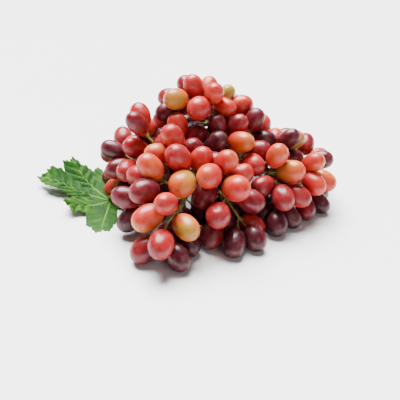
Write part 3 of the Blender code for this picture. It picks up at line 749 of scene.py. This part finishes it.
def layer(tree, name, vector=False):
    """What the mesh says at each point under this name."""
    return put(tree, "Attribute", attribute_name=name).outputs["Vector" if vector else "Fac"]


def ramp(tree, value, stops):
    """Colours along a value, given as (place, colour)."""
    node = put(tree, "ValToRGB", {"Fac": value})
    points = node.color_ramp.elements
    while len(points) < len(stops):
        points.new(1.0)
    for point, (place, color) in zip(points, stops):
        point.position = place
        point.color = (*color, 1.0)
    return node.outputs["Color"]


def fade(tree, value, start, stop):
    """0 before start and 1 after stop, smoothly. The two may be the other way round."""
    inputs = {"Value": value, "From Min": start, "From Max": stop}
    node = put(tree, "MapRange", inputs, interpolation_type="SMOOTHSTEP")
    return node.outputs["Result"]


def mix(tree, share, a, b, blend="MIX"):
    node = put(tree, "Mix", data_type="RGBA", blend_type=blend)
    for socket, value in ((0, share), (6, a), (7, b)):
        if isinstance(value, bpy.types.NodeSocket):
            tree.links.new(value, node.inputs[socket])
        else:
            node.inputs[socket].default_value = value if socket == 0 else (*value, 1.0)
    return node.outputs[2]


def noise(tree, vector, scale, detail=2.0, w=None, stretch=None):
    if stretch:
        vector = put(tree, "Mapping", {"Vector": vector, "Scale": stretch}).outputs[0]
    inputs = {"Vector": vector, "Scale": scale, "Detail": detail}
    if w is None:
        return put(tree, "TexNoise", inputs).outputs[0]
    return put(tree, "TexNoise", {**inputs, "W": w}, noise_dimensions="4D").outputs[0]


def new_material(name, **constants):
    material = bpy.data.materials.new(name)
    material.use_nodes = True
    tree = material.node_tree
    shader = tree.nodes["Principled BSDF"]
    for socket, value in constants.items():
        shader.inputs[socket.replace("_", " ")].default_value = value
    return material, tree, shader


# Grape colours from green to dark; the darkest steps also serve as painted shade on the low and inner
# berries.
RIPE_AND_SHADE_COLORS = (
    (0.00, (0.29, 0.27, 0.018)),
    (0.20, (0.55, 0.110, 0.015)),
    (0.40, (0.50, 0.020, 0.013)),
    (0.60, (0.26, 0.0060, 0.010)),
    (0.80, (0.090, 0.0034, 0.010)),
    (1.00, (0.022, 0.0020, 0.006)),
)
BLOOM_COLOR = (0.40, 0.12, 0.14)
SCAR_COLOR = (0.10, 0.030, 0.014)
SKINS = (  # slot, how much light passes under the skin, and how much bloom covers it
    ("skin_coral", 0.42, 0.10),
    ("skin_red", 0.38, 0.12),
    ("skin_plum", 0.28, 0.14),
)


def skin(name, glow, bloom_share):
    """Grape skin: coloured by how far it has ripened, with painted shade on low and inner berries and painted
    light near the crown, blotched and freckled, with a rubbed waxy bloom and a brown scar.
    """
    material, tree, shader = new_material(
        name,
        Subsurface_Weight=glow,
        Subsurface_Radius=(1.0, 0.28, 0.14),
        Subsurface_Scale=0.004,
        Coat_Weight=0.14,
        Coat_Roughness=0.14,
        Specular_IOR_Level=0.42,
        IOR=1.42,
    )
    at, along = layer(tree, "skin_at", True), layer(tree, "along")
    # The value read here carries ripening with painted shade on low and inner berries and painted light near
    # the crown.
    ripe, berry = layer(tree, "ripe"), calc(tree, "MULTIPLY", layer(tree, "berry"), 60.0)
    blotch = noise(tree, at, 0.13, 3.0, berry)
    streak = noise(tree, at, 0.9, 3.0, berry, (1.0, 1.0, 0.22))
    freckle = put(tree, "TexVoronoi", {"Vector": at, "Scale": 0.75, "Randomness": 1.0}).outputs["Distance"]
    off = put(tree, "VectorMath", {0: at, 1: (1, 1, 0)}, operation="MULTIPLY").outputs[0]
    off = put(tree, "VectorMath", {0: off}, operation="LENGTH").outputs["Value"]
    shoulder = fade(tree, along, -0.45, -1.0)
    tone = scaled(tree, blotch, 0.26, -0.13)
    tone = calc(tree, "ADD", ripe, tone)
    tone = calc(tree, "SUBTRACT", tone, calc(tree, "MULTIPLY", shoulder, 0.13))
    tone = calc(tree, "ADD", tone, calc(tree, "MULTIPLY", calc(tree, "SUBTRACT", streak, 0.5), 0.16), True)
    color = ramp(tree, tone, RIPE_AND_SHADE_COLORS)
    pale = calc(tree, "MULTIPLY", fade(tree, freckle, 0.24, 0.08), 0.22)
    color = mix(tree, pale, color, (0.80, 0.42, 0.25))
    wax = noise(tree, at, 0.22, 4.0, calc(tree, "ADD", berry, 9.0))
    wax = fade(tree, wax, 0.40, 0.68)
    color = mix(tree, calc(tree, "MULTIPLY", wax, bloom_share), color, BLOOM_COLOR)
    blossom = calc(tree, "GREATER_THAN", along, 0.0)
    scar = calc(tree, "MULTIPLY", fade(tree, off, 0.85, 0.35), blossom)
    halo = calc(tree, "MULTIPLY", calc(tree, "MULTIPLY", fade(tree, off, 2.6, 0.6), blossom), 0.18)
    color = mix(tree, halo, color, (0.16, 0.035, 0.02))
    color = mix(tree, scar, color, SCAR_COLOR)
    tree.links.new(color, shader.inputs["Base Color"])
    rough = scaled(tree, wax, 0.18, 0.29)
    rough = calc(tree, "ADD", rough, calc(tree, "MULTIPLY", scar, 0.3))
    tree.links.new(rough, shader.inputs["Roughness"])
    grain = calc(tree, "ADD", noise(tree, at, 2.2, 3.0, berry), calc(tree, "MULTIPLY", blotch, 1.5))
    bump = put(tree, "Bump", {"Height": grain, "Strength": 0.14, "Distance": 0.0003})
    tree.links.new(bump.outputs[0], shader.inputs["Normal"])
    return material


WOOD_COLORS = (  # from green shoot to brown cork
    (0.00, (0.30, 0.30, 0.05)),
    (0.35, (0.26, 0.20, 0.045)),
    (0.65, (0.14, 0.075, 0.022)),
    (1.00, (0.065, 0.032, 0.015)),
)


def stem_skin():
    """Green shoots with brown corky knobs and ends, and a dry cut on the main stem."""
    material, tree, shader = new_material(
        "stem", Subsurface_Weight=0.12, Subsurface_Radius=(0.6, 1.0, 0.2), Subsurface_Scale=0.0015
    )
    place = put(tree, "TexCoord").outputs["Object"]
    woody = layer(tree, "woody")
    patch = noise(tree, place, 260.0, 4.0)
    fine = noise(tree, place, 1300.0, 3.0)
    wood = calc(tree, "ADD", woody, calc(tree, "MULTIPLY", calc(tree, "SUBTRACT", patch, 0.5), 1.5), True)
    color = ramp(tree, wood, WOOD_COLORS)
    color = mix(tree, fade(tree, fine, 0.60, 0.72), color, (0.10, 0.05, 0.02))
    color = mix(tree, fade(tree, layer(tree, "cut"), 0.1, 0.5), color, (0.42, 0.30, 0.14))
    tree.links.new(color, shader.inputs["Base Color"])
    rough = scaled(tree, wood, 0.25, 0.48)
    tree.links.new(rough, shader.inputs["Roughness"])
    height = calc(tree, "ADD", patch, calc(tree, "MULTIPLY", fine, 0.5))
    bump = put(tree, "Bump", {"Height": height, "Strength": 0.5, "Distance": 0.0005})
    tree.links.new(bump.outputs[0], shader.inputs["Normal"])
    return material


BLADE_COLORS = (
    (0.30, (0.004, 0.032, 0.002)),
    (0.50, (0.012, 0.070, 0.004)),
    (0.70, (0.046, 0.14, 0.007)),
)


def leaf_skin():
    """Fresh green blade with pale veins, painted shade in the grooves along them, and a duller underside."""
    material, tree, shader = new_material(
        "leaf",
        Subsurface_Weight=0.12,
        Subsurface_Radius=(0.35, 1.0, 0.15),
        Subsurface_Scale=0.002,
        Specular_IOR_Level=0.12,
    )
    at = layer(tree, "leaf_at", True)
    patch = noise(tree, at, 0.09, 4.0)
    cells = put(tree, "TexVoronoi", {"Vector": at, "Scale": 0.55}, feature="DISTANCE_TO_EDGE")
    net = fade(tree, cells.outputs["Distance"], 0.12, 0.0)
    color = ramp(tree, patch, BLADE_COLORS)
    # Painted shade: darker green in the sunk grooves beside the side veins, none on the raised skin between
    # them.
    painted_groove_shade = calc(tree, "MULTIPLY", fade(tree, layer(tree, "crest"), 0.62, 0.10), 0.55)
    color = mix(tree, painted_groove_shade, color, (0.003, 0.028, 0.002))
    color = mix(tree, calc(tree, "MULTIPLY", net, 0.30), color, (0.045, 0.14, 0.012))
    color = mix(tree, fade(tree, layer(tree, "vein"), 0.25, 0.95), color, (0.13, 0.27, 0.035))
    margin = calc(tree, "MULTIPLY", fade(tree, layer(tree, "edge"), 0.965, 1.0), 0.5)
    color = mix(tree, margin, color, (0.10, 0.15, 0.02))
    color = mix(tree, calc(tree, "MULTIPLY", layer(tree, "under"), 0.45), color, (0.09, 0.16, 0.05))
    tree.links.new(color, shader.inputs["Base Color"])
    rough = scaled(tree, patch, 0.30, 0.45)
    tree.links.new(rough, shader.inputs["Roughness"])
    height = calc(tree, "SUBTRACT", noise(tree, at, 0.8, 3.0), calc(tree, "MULTIPLY", net, 0.8))
    bump = put(tree, "Bump", {"Height": height, "Strength": 0.4, "Distance": 0.0005})
    tree.links.new(bump.outputs[0], shader.inputs["Normal"])
    return material


# ---- floor, light and camera ----
CAMERA_DISTANCE = 0.650
CAMERA_ELEVATION = 32.0  # degrees
CAMERA_ROLL = -3.82  # degrees
CAMERA_LENS = 65.8  # mm
CAMERA_SHIFT = 0.031  # so that the bunch sits a little below the middle
STAGE_REACH = 6.0
FLOOR_DROP = -0.00005  # under the lowest berries
BACKDROP_GLOW = 4.4
WINDOW = (200, 60, 2.0, 18.5)  # azimuth, elevation, distance and strength
WINDOW_WIDTH = 46.0  # degrees of sky that the window fills
FILL = (35, 28, 1.2, 2.6)
FILL_SIZE = 0.6
ROOM_LIGHT = 0.10  # even light from everywhere


def aim_point():
    return Vector((PLAN_ORIGIN[0] * MM, PLAN_ORIGIN[1] * MM, 0.0))


def make_stage_piece(name, points, faces, material):
    mesh = bpy.data.meshes.new(name)
    mesh.from_pydata(points, [], faces)
    mesh.materials.append(material)
    obj = bpy.data.objects.new(name, mesh)
    bpy.context.scene.collection.objects.link(obj)
    return obj


def make_floor():
    """A wide pale sheet under the bunch."""
    material, tree, shader = new_material("floor", Roughness=0.6, Specular_IOR_Level=0.25)
    tone = noise(tree, put(tree, "TexCoord").outputs["Object"], 3.0)
    color = ramp(tree, tone, ((0.3, (0.89, 0.89, 0.895)), (0.7, (0.91, 0.91, 0.91))))
    tree.links.new(color, shader.inputs["Base Color"])
    square = ((-1, -1), (1, -1), (1, 1), (-1, 1))
    corners = [(x * STAGE_REACH, y * STAGE_REACH, FLOOR_DROP) for x, y in square]
    make_stage_piece("floor", corners, [(0, 1, 2, 3)], material)


def make_backdrop():
    """A pale wall far behind on every side, which only the camera sees, so that it adds no light."""
    material, _, shader = new_material("backdrop", Roughness=1.0, Emission_Strength=BACKDROP_GLOW)
    shader.inputs["Base Color"].default_value = (0.0, 0.0, 0.0, 1.0)
    shader.inputs["Emission Color"].default_value = (1.0, 1.0, 1.0, 1.0)
    sides = 48
    turn = 2 * np.pi * np.arange(sides) / sides
    ring = np.stack([np.cos(turn), np.sin(turn)], 1) * STAGE_REACH * 0.98
    low = np.column_stack([ring, np.full(sides, FLOOR_DROP)])
    high = np.column_stack([ring, np.full(sides, STAGE_REACH)])
    faces = [(n, (n + 1) % sides, sides + (n + 1) % sides, sides + n) for n in range(sides)]
    wall = make_stage_piece("backdrop", np.vstack([low, high]).tolist(), faces, material)
    wall.visible_diffuse = False
    wall.visible_glossy = False
    wall.visible_transmission = False
    wall.visible_shadow = False


def lamp_at(name, kind, azimuth, elevation, distance, strength):
    """A light on the given side of the bunch that looks at it."""
    turn, rise = np.radians((azimuth, elevation))
    back = Vector((np.sin(turn) * np.cos(rise), -np.cos(turn) * np.cos(rise), np.sin(rise)))
    lamp = bpy.data.lights.new(name, kind)
    lamp.energy = strength
    obj = bpy.data.objects.new(name, lamp)
    obj.location = aim_point() + Vector((0, 0, 0.04)) + back * distance
    obj.rotation_euler = (-back).to_track_quat("-Z", "Y").to_euler()
    bpy.context.scene.collection.objects.link(obj)
    return lamp


def make_lights():
    """A broad window high behind the bunch and a weak fill in front of it."""
    window = lamp_at("window", "SUN", *WINDOW)
    window.angle = np.radians(WINDOW_WIDTH)
    fill = lamp_at("fill", "AREA", *FILL)
    fill.size = FILL_SIZE


def make_world(strength):
    world = bpy.data.worlds.new("studio")
    world.use_nodes = True
    background = world.node_tree.nodes["Background"]
    background.inputs["Color"].default_value = (1.0, 1.0, 1.0, 1.0)
    background.inputs["Strength"].default_value = strength
    bpy.context.scene.world = world


def make_camera():
    rise, roll = np.radians((CAMERA_ELEVATION, CAMERA_ROLL))
    back = Vector((0, -np.cos(rise), np.sin(rise)))
    right = Vector((1, 0, 0))
    up = Vector((0, np.sin(rise), np.cos(rise)))
    camera_right = right * np.cos(roll) - up * np.sin(roll)
    camera_up = right * np.sin(roll) + up * np.cos(roll)
    data = bpy.data.cameras.new("camera")
    data.lens = CAMERA_LENS
    data.sensor_width = 36.0
    data.shift_y = CAMERA_SHIFT
    camera = bpy.data.objects.new("camera", data)
    turn = Matrix((camera_right, camera_up, back)).transposed().to_4x4()
    camera.matrix_world = Matrix.Translation(aim_point() + back * CAMERA_DISTANCE) @ turn
    bpy.context.scene.collection.objects.link(camera)
    bpy.context.scene.camera = camera


def write_sizes():
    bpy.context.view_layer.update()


def main():
    layout = settle()
    skins = {slot: skin(slot, glow, bloom_share) for slot, glow, bloom_share in SKINS}
    make_berries(layout, skins)
    make_stem(layout, stem_skin())
    make_leaf(leaf_skin())
    make_floor()
    make_backdrop()
    make_world(ROOM_LIGHT)
    make_lights()
    make_camera()
    write_sizes()


main()
